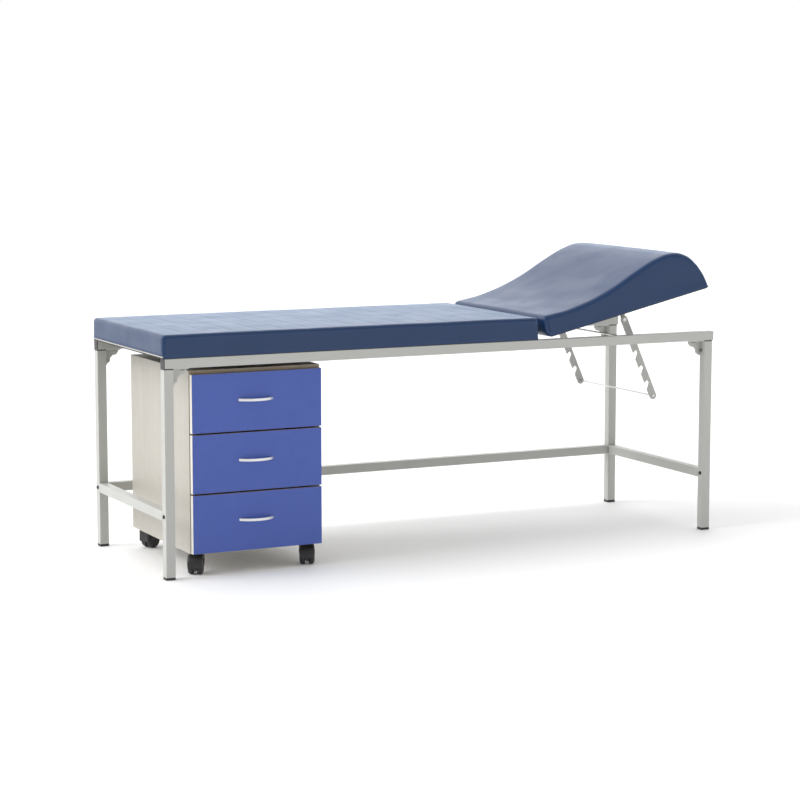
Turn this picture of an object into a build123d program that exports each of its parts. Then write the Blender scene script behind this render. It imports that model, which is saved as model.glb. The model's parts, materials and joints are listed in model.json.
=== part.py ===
"""Exam couch on a square-tube frame, with a ratchet headrest and a rolling three-drawer cabinet.

Millimetres. +X runs from the foot end to the head end, +Y from the front to the back, +Z up.
The origin is on the floor, under the middle of the couch.
"""

import math
import os

from build123d import *

os.makedirs("parts", exist_ok=True)

# ---- Couch frame ----
RAIL_LENGTH = 1950.0
FRAME_WIDTH = 640.0
RAIL_TOP = 672.0
TUBE = 30.0
TUBE_WALL = 1.5
TUBE_CORNER = 2.0
PAD_OVERHANG = 4.0
HEAD_LEG_INSET = 4.0
STRETCHER_TOP = 208.0
FOOT_CAP_HEIGHT = 8.0
CAP_FLANGE = 2.5
PLUG_DEPTH = 20.0
PLUG_GAP = 0.1

X_FOOT = PAD_OVERHANG - (RAIL_LENGTH + PAD_OVERHANG) / 2
X_HEAD = X_FOOT + RAIL_LENGTH
Y_FRONT = -FRAME_WIDTH / 2
Y_BACK = FRAME_WIDTH / 2
RAIL_BOTTOM = RAIL_TOP - TUBE
FRONT_Y = (Y_FRONT, Y_FRONT + TUBE)
BACK_Y = (Y_BACK - TUBE, Y_BACK)
BETWEEN_Y = (FRONT_Y[1], BACK_Y[0])
FOOT_X = (X_FOOT, X_FOOT + TUBE)
HEAD_X = (X_HEAD - HEAD_LEG_INSET - TUBE, X_HEAD - HEAD_LEG_INSET)
RAIL_Z = (RAIL_BOTTOM, RAIL_TOP)
STRETCHER_Z = (STRETCHER_TOP - TUBE, STRETCHER_TOP)
LEG_PLUG_FLANGE = 3.0
CORNERS = {
    "front_left": (FOOT_X, FRONT_Y),
    "front_right": (HEAD_X, FRONT_Y),
    "back_left": (FOOT_X, BACK_Y),
    "back_right": (HEAD_X, BACK_Y),
}

# ---- Corner brackets and their bolts ----
BRACKET_ARM = 50.0
BRACKET_FLANGE = 24.0
BRACKET_THICK = 3.0
BOLT_SHANK_R = 3.0
BOLT_BORE_R = 3.1
BOLT_HEAD_R = 6.0
BOLT_HEAD_HEIGHT = 4.0
BOLT_REACH = 12.0
BRACKET_BOLT_AT = 34.0
BORE_THROUGH = 20.0
GUSSET_OUTLINE = [(0, 0), (50, 0), (50, -9), (42, -20), (30, -22), (22, -30), (20, -42), (9, -50), (0, -50)]

# ---- Main pad ----
BOARD_THICK = 8.0
BOARD_INSET = 2.0
PAD_TOP = 744.0
PAD_END_X = X_FOOT + 1282.0
PAD_ROUND = 10.0
CROSS_MEMBER_X = (X_FOOT + 130.0, X_FOOT + 680.0, X_FOOT + 1250.0)
PAD_SCREW_R = 2.5
PAD_SCREW_Y = 180.0
PAD_SCREW_HEAD = 3.0

# ---- Headrest hinge: a rod in the gap between the two pads ----
HINGE_X = X_FOOT + 1291.5
HINGE_Z = 712.0
HINGE_ROD_R = 4.0
HINGE_ROD_REACH = 172.0
HINGE_EYE_R = 7.0
HINGE_FIT = 0.06
HINGE_PLATE = 4.0
HINGE_PLATE_Y = 150.0
STRAP_GAP = 1.0
STRAP_REACH = 60.0
STRAP_FLANGE_START = 30.0
STRAP_FLANGE_END = 70.0
STRAP_FLANGE_WIDTH = 28.0
HEAD_TILT = 13.0
UNDERSIDE = -39.5

# ---- Headrest pad, in the hinge's own axes: u along the board, v up from it ----
HEAD_PAD_START = 14.0
HEAD_PAD_END = 650.0
HEAD_BOARD_START = 30.0
HEAD_BOARD_END = 640.0
PILLOW_OUTLINE = [(26, 31), (120, 29), (300, 57), (445, 99), (522, 108), (596, 78), (641, 4)]

# ---- Ratchet bars ----
BAR_Y = 238.0
BAR_WIDTH = 25.0
BAR_THICK = 4.0
BAR_SPAN = 285.0
BAR_TILT = 24.0
BAR_PIVOT_U = 351.0
BAR_PIVOT_V = -76.0
NOTCH_COUNT = 4
NOTCH_FIRST = 61.0
NOTCH_PITCH = 56.3
NOTCH_OUTLINE = [(-1, -1), (13.5, 4), (16, -9), (-1, -27)]
PIVOT_PIN_R = 4.0
CROSS_ROD_R = 2.5
REST_ROD_R = 3.0
REST_ROD_X = X_FOOT + 1629.0
REST_ROD_Z = 663.0
LUG_THICK = 3.0
LUG_WIDTH = 16.0
LUG_FLANGE = 44.0
LUG_FLANGE_WIDTH = 30.0

# ---- Drawer cabinet ----
CAB_X = (X_FOOT + 95.0, X_FOOT + 527.0)
CAB_Y = (Y_FRONT + 45.0, Y_FRONT + 560.0)
CAB_Z = (66.0, 628.0)
PANEL = 16.0
BACK_PANEL = 4.0
FRONT_THICK = 18.0
FRONT_GAP = 2.0
FRONT_WIDTH = 428.0
FRONT_HEIGHT = 180.0
FRONT_PITCH = 185.0
FRONT_BOTTOM = 67.5
DRAWER_COUNT = 3
BOX_WIDTH = 374.0
BOX_DEPTH = 455.0
BOX_HEIGHT = 125.0
BOX_LIFT = 22.0
BOX_WALL = 12.0
BOX_FLOOR = 6.0
RUNNER_LIFT = 40.0
RUNNER_HEIGHT = 34.0
RUNNER_DEPTH = 10.5
RUNNER_WALL = 1.5
RUNNER_PLAY = 0.5
HANDLE_HALF = 57.0
HANDLE_FOOT = 10.0
HANDLE_REACH = 24.0
HANDLE_BAR = 4.5
HANDLE_HEIGHT = 9.0

# ---- Casters: twin wheels under a hood, trailing a vertical stem ----
CASTER_INSET = 32.0
WHEEL_R = 24.0
WHEEL_TRAIL = 18.0
WHEEL_FACES = (5.5, 23.0)
WHEEL_ROUND_INNER = 5.0
WHEEL_ROUND_OUTER = 8.0
HOOD_HALF = 24.0
HOOD_TOP = 62.0
HOOD_NOSE = 11.0
HOOD_NOSE_R = 8.0
HOOD_CROWN_R = 32.0
HOOD_SHOULDER_R = 7.0
HOOD_SKIRT = 22.0
HOOD_CLEAR_R = 26.0
WEB_HALF = 4.0
WEB_BOTTOM = 11.0
AXLE_R = 3.0
STEM_R = 5.0
STEM_DEPTH = 14.0
CASTER_FIT = 0.06
CASTER_HEADINGS = {"front_left": 240.0, "front_right": 250.0, "back_left": 20.0, "back_right": 205.0}


def middle(span):
    return (span[0] + span[1]) / 2


def span_box(x, y, z, mode=Mode.ADD):
    """Add or cut the box that fills three (low, high) ranges, in the part being built."""
    with Locations((middle(x), middle(y), middle(z))):
        Box(x[1] - x[0], y[1] - y[0], z[1] - z[0], mode=mode)


def span_rod(start, direction, radius, length, mode=Mode.ADD):
    """Add or cut a round rod that runs from a point along a direction, in the part being built."""
    with Locations(Plane(origin=start, z_dir=direction)):
        Cylinder(radius, length, align=(Align.CENTER, Align.CENTER, Align.MIN), mode=mode)


def inside(span, wall=TUBE_WALL):
    return (span[0] + wall, span[1] - wall)


def longer(span, extra=1.0):
    return (span[0] - extra, span[1] + extra)


def square_tube(x, y, z, along, bores=()):
    """An open-ended square tube with small outer corners; bores are (start, direction, radius, length)."""
    hollow = {
        Axis.X: (longer(x), inside(y), inside(z)),
        Axis.Y: (inside(x), longer(y), inside(z)),
        Axis.Z: (inside(x), inside(y), longer(z)),
    }[along]
    with BuildPart() as tube:
        span_box(x, y, z)
        fillet(tube.edges().filter_by(along), radius=TUBE_CORNER)
        span_box(*hollow, mode=Mode.SUBTRACT)
        for start, direction, radius, length in bores:
            span_rod(start, direction, radius, length, mode=Mode.SUBTRACT)
    return tube.part


def write(part, node):
    part.label = node
    export_step(part, f"parts/{node}.step")


def gather(pieces):
    """Several separate solids of one kind as one compound."""
    return Compound(children=list(pieces))


# ---- Rails, legs and stretchers ----
def inner_side(corner):
    """+1 where the couch's middle lies toward +X of the corner's leg, -1 where toward -X."""
    return 1 if "left" in corner else -1


def leg_inner_face(corner):
    leg_x = CORNERS[corner][0]
    return leg_x[1] if inner_side(corner) > 0 else leg_x[0]


def rail_bolt(corner):
    """Foot of the bolt that goes up into the rail: start point under the bracket's flange."""
    leg_y = CORNERS[corner][1]
    return (leg_inner_face(corner) + inner_side(corner) * BRACKET_BOLT_AT, middle(leg_y), RAIL_BOTTOM)


def leg_bolt(corner):
    leg_y = CORNERS[corner][1]
    return (leg_inner_face(corner), middle(leg_y), RAIL_BOTTOM - BRACKET_BOLT_AT)


def stretcher_screw(corner):
    """Where the screw meets the leg's foot-end face, level with the stretchers."""
    leg_x, leg_y = CORNERS[corner]
    return (leg_x[0], middle(leg_y), middle(STRETCHER_Z))


def make_rails():
    for node, rail_y, side in (("front_top_rail", FRONT_Y, "front"), ("back_top_rail", BACK_Y, "back")):
        bores = []
        for corner in (f"{side}_left", f"{side}_right"):
            bores.append((rail_bolt(corner), (0, 0, 1), BOLT_BORE_R, 2 * TUBE_WALL))
        toward = 1 if side == "front" else -1
        inner_y = rail_y[1] if side == "front" else rail_y[0]
        bores.append(((REST_ROD_X, inner_y, REST_ROD_Z), (0, -toward, 0), REST_ROD_R, 2 * TUBE_WALL))
        rail_x = (X_FOOT + CAP_FLANGE, X_HEAD - CAP_FLANGE)
        write(square_tube(rail_x, rail_y, RAIL_Z, Axis.X, bores), node)


def make_legs():
    for corner, (leg_x, leg_y) in CORNERS.items():
        toward = inner_side(corner)
        bores = [
            (leg_bolt(corner), (-toward, 0, 0), BOLT_BORE_R, 2 * TUBE_WALL),
            (stretcher_screw(corner), (1, 0, 0), BOLT_BORE_R, 2 * TUBE_WALL),
        ]
        leg_z = (FOOT_CAP_HEIGHT, RAIL_BOTTOM - LEG_PLUG_FLANGE)
        write(square_tube(leg_x, leg_y, leg_z, Axis.Z, bores), f"leg_{corner}")


def make_stretchers():
    write(square_tube(FOOT_X, BETWEEN_Y, STRETCHER_Z, Axis.Y), "foot_end_stretcher")
    write(square_tube(HEAD_X, BETWEEN_Y, STRETCHER_Z, Axis.Y), "head_end_stretcher")
    write(square_tube((FOOT_X[1], HEAD_X[0]), BACK_Y, STRETCHER_Z, Axis.X), "back_stretcher")


def make_cross_members():
    names = ("foot_cross_member", "middle_cross_member", "hinge_cross_member")
    for node, start_x in zip(names, CROSS_MEMBER_X):
        member_x = (start_x, start_x + TUBE)
        bores = []
        for side in (-1, 1):
            below = (middle(member_x), side * PAD_SCREW_Y, RAIL_BOTTOM - 1)
            bores.append((below, (0, 0, 1), PAD_SCREW_R, TUBE + 2))
        write(square_tube(member_x, BETWEEN_Y, RAIL_Z, Axis.Y, bores), node)


# ---- Plastic caps and plugs ----
def plug_span(span, flange):
    """The plug's range along the tube: from the flange's outer face into the tube."""
    if flange == "low":
        return (span[0], span[0] + PLUG_DEPTH)
    return (span[1] - PLUG_DEPTH, span[1])


def tube_cap(x, y, z, along, flange):
    """A cap flange flush with the tube, and a plug that fills the tube's end."""
    fit = TUBE_WALL + PLUG_GAP
    with BuildPart() as cap:
        span_box(x, y, z)
        fillet(cap.edges().filter_by(along), radius=TUBE_CORNER)
        if along == Axis.X:
            span_box(plug_span(x, flange), inside(y, fit), inside(z, fit))
        else:
            span_box(inside(x, fit), inside(y, fit), plug_span(z, flange))
    return cap.part


def make_caps():
    foot_caps = []
    leg_plugs = []
    for leg_x, leg_y in CORNERS.values():
        foot_caps.append(tube_cap(leg_x, leg_y, (0, FOOT_CAP_HEIGHT), Axis.Z, "low"))
        plug_z = (RAIL_BOTTOM - LEG_PLUG_FLANGE, RAIL_BOTTOM)
        leg_plugs.append(tube_cap(leg_x, leg_y, plug_z, Axis.Z, "high"))
    write(gather(foot_caps), "foot_caps")
    write(gather(leg_plugs), "leg_top_plugs")
    foot_end = []
    head_end = []
    for rail_y in (FRONT_Y, BACK_Y):
        foot_end.append(tube_cap((X_FOOT, X_FOOT + CAP_FLANGE), rail_y, RAIL_Z, Axis.X, "low"))
        head_end.append(tube_cap((X_HEAD - CAP_FLANGE, X_HEAD), rail_y, RAIL_Z, Axis.X, "high"))
    write(gather(foot_end), "rail_caps_foot_end")
    write(gather(head_end), "rail_caps_head_end")


# ---- Corner brackets ----
def corner_bracket(corner):
    """A flange under the rail, a flange down the leg and a stepped gusset along their inner edge."""
    toward = inner_side(corner)
    leg_y = CORNERS[corner][1]
    back_edge = middle(leg_y) + BRACKET_FLANGE / 2
    face_x = leg_inner_face(corner)
    outline = [(toward * u, v) for u, v in GUSSET_OUTLINE]
    flange_y = (back_edge - BRACKET_FLANGE, back_edge)
    rail_x = tuple(sorted((face_x, face_x + toward * BRACKET_ARM)))
    leg_x = tuple(sorted((face_x, face_x + toward * BRACKET_THICK)))
    with BuildPart() as bracket:
        gusset_plane = Plane(origin=(face_x, back_edge, RAIL_BOTTOM), x_dir=(1, 0, 0), z_dir=(0, -1, 0))
        with BuildSketch(gusset_plane):
            Polygon(*outline, align=None)
        extrude(amount=BRACKET_THICK)
        span_box(rail_x, flange_y, (RAIL_BOTTOM - BRACKET_THICK, RAIL_BOTTOM))
        span_box(leg_x, flange_y, (RAIL_BOTTOM - BRACKET_ARM, RAIL_BOTTOM))
        bolt_x, bolt_y, bolt_z = rail_bolt(corner)
        below = (bolt_x, bolt_y, bolt_z - BORE_THROUGH / 2)
        span_rod(below, (0, 0, 1), BOLT_BORE_R, BORE_THROUGH, mode=Mode.SUBTRACT)
        side_x, side_y, side_z = leg_bolt(corner)
        beside = (side_x - BORE_THROUGH / 2, side_y, side_z)
        span_rod(beside, (1, 0, 0), BOLT_BORE_R, BORE_THROUGH, mode=Mode.SUBTRACT)
    return bracket.part


def bolt(seat, direction):
    """A round-headed bolt whose head sits on the seat point and whose shank runs along direction."""
    back = tuple(-part for part in direction)
    with BuildPart() as fastener:
        span_rod(seat, back, BOLT_HEAD_R, BOLT_HEAD_HEIGHT)
        fillet(fastener.edges().sort_by(Axis(seat, back))[-1], radius=BOLT_HEAD_HEIGHT * 0.6)
        span_rod(seat, direction, BOLT_SHANK_R, BOLT_REACH)
    return fastener.part


def make_brackets():
    brackets = []
    bolts = []
    screws = []
    for corner in CORNERS:
        toward = inner_side(corner)
        brackets.append(corner_bracket(corner))
        rail_x, rail_y, rail_z = rail_bolt(corner)
        bolts.append(bolt((rail_x, rail_y, rail_z - BRACKET_THICK), (0, 0, 1)))
        leg_x, leg_y, leg_z = leg_bolt(corner)
        bolts.append(bolt((leg_x + toward * BRACKET_THICK, leg_y, leg_z), (-toward, 0, 0)))
        screws.append(bolt(stretcher_screw(corner), (1, 0, 0)))
    write(gather(brackets), "corner_brackets")
    write(gather(bolts), "bracket_bolts")
    write(gather(screws), "stretcher_screws")


# ---- Main pad ----
def make_main_pad():
    board_x = (X_FOOT - PAD_OVERHANG + BOARD_INSET, PAD_END_X - BOARD_INSET)
    board_y = (Y_FRONT + BOARD_INSET, Y_BACK - BOARD_INSET)
    board_z = (RAIL_TOP, RAIL_TOP + BOARD_THICK)
    screw_spots = [(start + TUBE / 2, side * PAD_SCREW_Y) for start in CROSS_MEMBER_X for side in (-1, 1)]
    with BuildPart() as board:
        span_box(board_x, board_y, board_z)
        for spot_x, spot_y in screw_spots:
            span_rod((spot_x, spot_y, RAIL_TOP), (0, 0, 1), PAD_SCREW_R, BOARD_THICK - 1, mode=Mode.SUBTRACT)
    write(board.part, "main_pad_board")

    with BuildPart() as cushion:
        span_box((X_FOOT - PAD_OVERHANG, PAD_END_X), (Y_FRONT, Y_BACK), (board_z[1], PAD_TOP))
        fillet(cushion.faces().sort_by(Axis.Z)[-1].edges(), radius=PAD_ROUND)
    write(cushion.part, "main_pad_cushion")

    screws = []
    for spot_x, spot_y in screw_spots:
        with BuildPart() as screw:
            span_rod((spot_x, spot_y, RAIL_BOTTOM), (0, 0, -1), 2 * PAD_SCREW_R, PAD_SCREW_HEAD)
            span_rod((spot_x, spot_y, RAIL_BOTTOM), (0, 0, 1), PAD_SCREW_R, TUBE + BOARD_THICK - 2)
        screws.append(screw.part)
    write(gather(screws), "pad_screws")


# ---- Headrest ----
def head_plane(y):
    """The headrest's own plane at rest: x along its board, y up from it, normal toward the front."""
    tilt = math.radians(HEAD_TILT)
    along = (math.cos(tilt), 0, math.sin(tilt))
    return Plane(origin=(HINGE_X, y, HINGE_Z), x_dir=along, z_dir=(0, -1, 0))


def make_headrest_pad():
    with BuildPart() as board:
        with BuildSketch(head_plane(Y_BACK - BOARD_INSET)):
            with Locations(((HEAD_BOARD_START + HEAD_BOARD_END) / 2, UNDERSIDE + BOARD_THICK / 2)):
                Rectangle(HEAD_BOARD_END - HEAD_BOARD_START, BOARD_THICK)
        extrude(amount=FRAME_WIDTH - 2 * BOARD_INSET)
    write(board.part, "headrest_board")

    base = UNDERSIDE + BOARD_THICK
    start = HEAD_PAD_START
    upper = PILLOW_OUTLINE[0]
    lower = (start + PAD_ROUND, base)
    with BuildPart() as cushion:
        with BuildSketch(head_plane(Y_BACK)):
            with BuildLine():
                top = Spline(*PILLOW_OUTLINE, (HEAD_PAD_END, base), tangents=[(1, 0), (0.1, -1)])
                Line(top @ 1, lower)
                nose = TangentArc(lower, (start, base + PAD_ROUND), tangent=(-1, 0))
                shoulder = TangentArc(upper, (start, upper[1] - (upper[0] - start)), tangent=(-1, 0))
                Line(nose @ 1, shoulder @ 1)
            make_face()
        extrude(amount=FRAME_WIDTH)
    write(cushion.part, "headrest_cushion")


def make_headrest_hinge():
    hinge_y = [side * HINGE_PLATE_Y for side in (-1, 1)]
    member_end = CROSS_MEMBER_X[2] + TUBE
    eye = HINGE_EYE_R
    uprights = []
    for plate_y in hinge_y:
        with BuildPart() as upright:
            plane = Plane(origin=(0, plate_y + HINGE_PLATE / 2, 0), x_dir=(1, 0, 0), z_dir=(0, -1, 0))
            with BuildSketch(plane):
                Polygon(
                    (member_end, RAIL_BOTTOM + 4),
                    (HINGE_X + eye - 2, RAIL_BOTTOM + 4),
                    (HINGE_X + eye, RAIL_BOTTOM + 10),
                    (HINGE_X + eye, HINGE_Z),
                    (HINGE_X - eye, HINGE_Z),
                    (HINGE_X - eye, RAIL_TOP - 1),
                    (member_end, RAIL_TOP - 6),
                    align=None,
                )
                with Locations((HINGE_X, HINGE_Z)):
                    Circle(eye)
                    Circle(HINGE_ROD_R, mode=Mode.SUBTRACT)
            extrude(amount=HINGE_PLATE)
        uprights.append(upright.part)
    write(gather(uprights), "hinge_uprights")

    with BuildPart() as rod:
        span_rod((HINGE_X, -HINGE_ROD_REACH, HINGE_Z), (0, 1, 0), HINGE_ROD_R, 2 * HINGE_ROD_REACH)
    write(rod.part, "hinge_rod")

    straps = []
    flange_low = UNDERSIDE - LUG_THICK
    leaf = [(-eye, 0), (-eye, flange_low), (STRAP_REACH, flange_low)]
    leaf += [(STRAP_REACH, UNDERSIDE), (eye, UNDERSIDE), (eye, 0)]
    flange_middle = (STRAP_FLANGE_START + STRAP_FLANGE_END) / 2
    for side in (-1, 1):
        strap_y = side * (HINGE_PLATE_Y + HINGE_PLATE + STRAP_GAP)
        flange_y = strap_y + side * STRAP_FLANGE_WIDTH / 2
        with BuildPart() as strap:
            with BuildSketch(head_plane(strap_y + HINGE_PLATE / 2)):
                Polygon(*leaf, align=None)
                Circle(eye)
                Circle(HINGE_ROD_R + HINGE_FIT, mode=Mode.SUBTRACT)
            extrude(amount=HINGE_PLATE)
            with BuildSketch(head_plane(flange_y + STRAP_FLANGE_WIDTH / 2)):
                with Locations((flange_middle, UNDERSIDE - LUG_THICK / 2)):
                    Rectangle(STRAP_FLANGE_END - STRAP_FLANGE_START, LUG_THICK)
            extrude(amount=STRAP_FLANGE_WIDTH)
        straps.append(strap.part)
    write(gather(straps), "hinge_straps")


# ---- Ratchet bars ----
def bar_pivot():
    """The bars' pivot in the couch's X and Z, from its place under the headrest's board."""
    tilt = math.radians(HEAD_TILT)
    pivot_x = HINGE_X + BAR_PIVOT_U * math.cos(tilt) - BAR_PIVOT_V * math.sin(tilt)
    pivot_z = HINGE_Z + BAR_PIVOT_U * math.sin(tilt) + BAR_PIVOT_V * math.cos(tilt)
    return pivot_x, pivot_z


def bar_plane(y):
    """A bar's own plane at rest: y up along the bar from its pivot, normal toward the front."""
    tilt = math.radians(BAR_TILT)
    pivot_x, pivot_z = bar_pivot()
    across = (math.cos(tilt), 0, math.sin(tilt))
    return Plane(origin=(pivot_x, y, pivot_z), x_dir=across, z_dir=(0, -1, 0))


def make_ratchet_bars():
    tips = [(-BAR_WIDTH / 2, -(NOTCH_FIRST + k * NOTCH_PITCH)) for k in range(NOTCH_COUNT)]
    for node, bar_y in (("ratchet_bar_front", -BAR_Y), ("ratchet_bar_back", BAR_Y)):
        with BuildPart() as bar:
            with BuildSketch(bar_plane(bar_y + BAR_THICK / 2)):
                with Locations((0, -BAR_SPAN / 2)):
                    Rectangle(BAR_WIDTH, BAR_SPAN)
                with Locations((0, 0), (0, -BAR_SPAN)):
                    Circle(BAR_WIDTH / 2)
                with Locations(*tips):
                    Polygon(*NOTCH_OUTLINE, align=None, mode=Mode.SUBTRACT)
                Circle(PIVOT_PIN_R + HINGE_FIT, mode=Mode.SUBTRACT)
                with Locations((0, -BAR_SPAN)):
                    Circle(CROSS_ROD_R, mode=Mode.SUBTRACT)
            extrude(amount=BAR_THICK)
        write(bar.part, node)


def make_ratchet_rods():
    tilt = math.radians(BAR_TILT)
    pivot_x, pivot_z = bar_pivot()
    end_x = pivot_x + BAR_SPAN * math.sin(tilt)
    end_z = pivot_z - BAR_SPAN * math.cos(tilt)
    outside = BAR_Y + BAR_THICK / 2
    with BuildPart() as rod:
        span_rod((end_x, -outside - 1, end_z), (0, 1, 0), CROSS_ROD_R, 2 * outside + 2)
        span_rod((end_x, -outside - 2, end_z), (0, 1, 0), 2 * CROSS_ROD_R, 2)
        span_rod((end_x, outside, end_z), (0, 1, 0), 2 * CROSS_ROD_R, 2)
    write(rod.part, "ratchet_cross_rod")

    reach = -FRONT_Y[1] + 2 * TUBE_WALL
    with BuildPart() as rest:
        span_rod((REST_ROD_X, -reach, REST_ROD_Z), (0, 1, 0), REST_ROD_R, 2 * reach)
    write(rest.part, "ratchet_rest_rod")


def make_ratchet_lugs():
    """An angle under the headrest's board beside each bar, and the pin through both."""
    pivot_x, pivot_z = bar_pivot()
    lugs = []
    pins = []
    for side in (-1, 1):
        outer_face = side * (BAR_Y - BAR_THICK / 2 - 1)
        inner_face = outer_face - side * LUG_THICK
        with BuildPart() as lug:
            with BuildSketch(head_plane(max(outer_face, inner_face))):
                with Locations((BAR_PIVOT_U, (BAR_PIVOT_V + UNDERSIDE) / 2)):
                    Rectangle(LUG_WIDTH, UNDERSIDE - BAR_PIVOT_V)
                with Locations((BAR_PIVOT_U, BAR_PIVOT_V)):
                    Circle(LUG_WIDTH / 2)
                    Circle(PIVOT_PIN_R, mode=Mode.SUBTRACT)
            extrude(amount=LUG_THICK)
            with BuildSketch(head_plane(max(outer_face, outer_face - side * LUG_FLANGE_WIDTH))):
                with Locations((BAR_PIVOT_U, UNDERSIDE - LUG_THICK / 2)):
                    Rectangle(LUG_FLANGE, LUG_THICK)
            extrude(amount=LUG_FLANGE_WIDTH)
        lugs.append(lug.part)
        head_seat = side * (BAR_Y + BAR_THICK / 2 + 0.1)
        with BuildPart() as pin:
            span_rod((pivot_x, head_seat, pivot_z), (0, side, 0), PIVOT_PIN_R + 3, 2.5)
            fillet(pin.edges().sort_by(Axis.Y)[0 if side < 0 else -1], radius=1.5)
            span_rod((pivot_x, head_seat, pivot_z), (0, -side, 0), PIVOT_PIN_R, abs(head_seat - inner_face))
            span_rod((pivot_x, inner_face, pivot_z), (0, -side, 0), PIVOT_PIN_R + 2, 1.5)
        pins.append(pin.part)
    write(gather(lugs), "ratchet_lugs")
    write(gather(pins), "ratchet_pivot_pins")


# ---- Cabinet carcass ----
def make_carcass():
    inner_x = inside(CAB_X, PANEL)
    under_top = CAB_Z[1] - PANEL
    panels = {
        "cabinet_left_side": ((CAB_X[0], inner_x[0]), CAB_Y, (CAB_Z[0], under_top)),
        "cabinet_right_side": ((inner_x[1], CAB_X[1]), CAB_Y, (CAB_Z[0], under_top)),
        "cabinet_top": (CAB_X, CAB_Y, (under_top, CAB_Z[1])),
        "cabinet_bottom": (inner_x, CAB_Y, (CAB_Z[0], CAB_Z[0] + PANEL)),
        "cabinet_back": (inner_x, (CAB_Y[1] - BACK_PANEL, CAB_Y[1]), (CAB_Z[0] + PANEL, under_top)),
    }
    for node, (x, y, z) in panels.items():
        with BuildPart() as panel:
            span_box(x, y, z)
        write(panel.part, node)


def runner_z(drawer):
    low = FRONT_BOTTOM + drawer * FRONT_PITCH + RUNNER_LIFT
    return (low, low + RUNNER_HEIGHT)


def runner_y():
    return (CAB_Y[0] + 5, CAB_Y[0] + BOX_DEPTH)


def make_cabinet_runners():
    """A channel on each side panel for each drawer, open toward the drawer."""
    runners = []
    inner_x = inside(CAB_X, PANEL)
    for drawer in range(DRAWER_COUNT):
        z = runner_z(drawer)
        for side in (1, -1):
            wall = inner_x[0] if side > 0 else inner_x[1]
            x = tuple(sorted((wall, wall + side * RUNNER_DEPTH)))
            hollow = tuple(sorted((wall + side * RUNNER_WALL, wall + side * (RUNNER_DEPTH + 1))))
            with BuildPart() as runner:
                span_box(x, runner_y(), z)
                span_box(hollow, longer(runner_y()), inside(z, RUNNER_WALL), mode=Mode.SUBTRACT)
            runners.append(runner.part)
    write(gather(runners), "cabinet_runners")


# ---- Drawers ----
def drawer_x():
    centre = middle(CAB_X)
    return (centre - BOX_WIDTH / 2, centre + BOX_WIDTH / 2)


def make_drawer(drawer):
    """Drawer 0 is the lowest. Its number in the node names counts from the top."""
    number = DRAWER_COUNT - drawer
    bottom = FRONT_BOTTOM + drawer * FRONT_PITCH
    centre_x = middle(CAB_X)
    face_y = (CAB_Y[0] - FRONT_GAP - FRONT_THICK, CAB_Y[0] - FRONT_GAP)
    face_x = (centre_x - FRONT_WIDTH / 2, centre_x + FRONT_WIDTH / 2)
    with BuildPart() as front:
        span_box(face_x, face_y, (bottom, bottom + FRONT_HEIGHT))
        fillet(front.faces().sort_by(Axis.Y)[0].edges(), radius=1)
    write(front.part, f"drawer_{number}_front")

    box_y = (face_y[1], face_y[1] + BOX_DEPTH)
    box_z = (bottom + BOX_LIFT, bottom + BOX_LIFT + BOX_HEIGHT)
    with BuildPart() as box:
        span_box(drawer_x(), box_y, box_z)
        hollow_z = (box_z[0] + BOX_FLOOR, box_z[1] + 1)
        span_box(inside(drawer_x(), BOX_WALL), inside(box_y, BOX_WALL), hollow_z, mode=Mode.SUBTRACT)
    write(box.part, f"drawer_{number}_box")

    slides = []
    panel_x = inside(CAB_X, PANEL)
    for side in (1, -1):
        wall = panel_x[0] if side > 0 else panel_x[1]
        box_side = drawer_x()[0] if side > 0 else drawer_x()[1]
        x = tuple(sorted((wall + side * (RUNNER_WALL + RUNNER_PLAY), box_side)))
        with BuildPart() as slide:
            span_box(x, runner_y(), inside(runner_z(drawer), RUNNER_WALL + RUNNER_PLAY))
        slides.append(slide.part)
    write(gather(slides), f"drawer_{number}_slides")

    middle_z = bottom + FRONT_HEIGHT / 2 + 6
    inner_half = HANDLE_HALF - HANDLE_FOOT
    plane = Plane(origin=(centre_x - 5, face_y[0], middle_z - HANDLE_HEIGHT / 2))
    with BuildPart() as handle:
        with BuildSketch(plane):
            with BuildLine():
                outer = ThreePointArc((-HANDLE_HALF, 0), (0, -HANDLE_REACH), (HANDLE_HALF, 0))
                inner = ThreePointArc((-inner_half, 0), (0, HANDLE_BAR - HANDLE_REACH), (inner_half, 0))
                Line(outer @ 0, inner @ 0)
                Line(outer @ 1, inner @ 1)
            make_face()
        extrude(amount=HANDLE_HEIGHT)
        fillet(handle.edges().filter_by(GeomType.CIRCLE), radius=1.5)
    write(handle.part, f"drawer_{number}_handle")


# ---- Casters ----
def caster_stems():
    x = inside(CAB_X, CASTER_INSET)
    y = inside(CAB_Y, CASTER_INSET)
    return {
        "front_left": (x[0], y[0]),
        "front_right": (x[1], y[0]),
        "back_left": (x[0], y[1]),
        "back_right": (x[1], y[1]),
    }


def wheel_plane(corner, offset):
    """The wheel's own plane at rest: x along the trail, y up from the floor, moved along its normal."""
    heading = math.radians(CASTER_HEADINGS[corner])
    along = (math.cos(heading), math.sin(heading), 0)
    normal = (math.sin(heading), -math.cos(heading), 0)
    stem_x, stem_y = caster_stems()[corner]
    origin = (stem_x - normal[0] * offset, stem_y - normal[1] * offset, 0)
    return Plane(origin=origin, x_dir=along, z_dir=normal)


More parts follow.
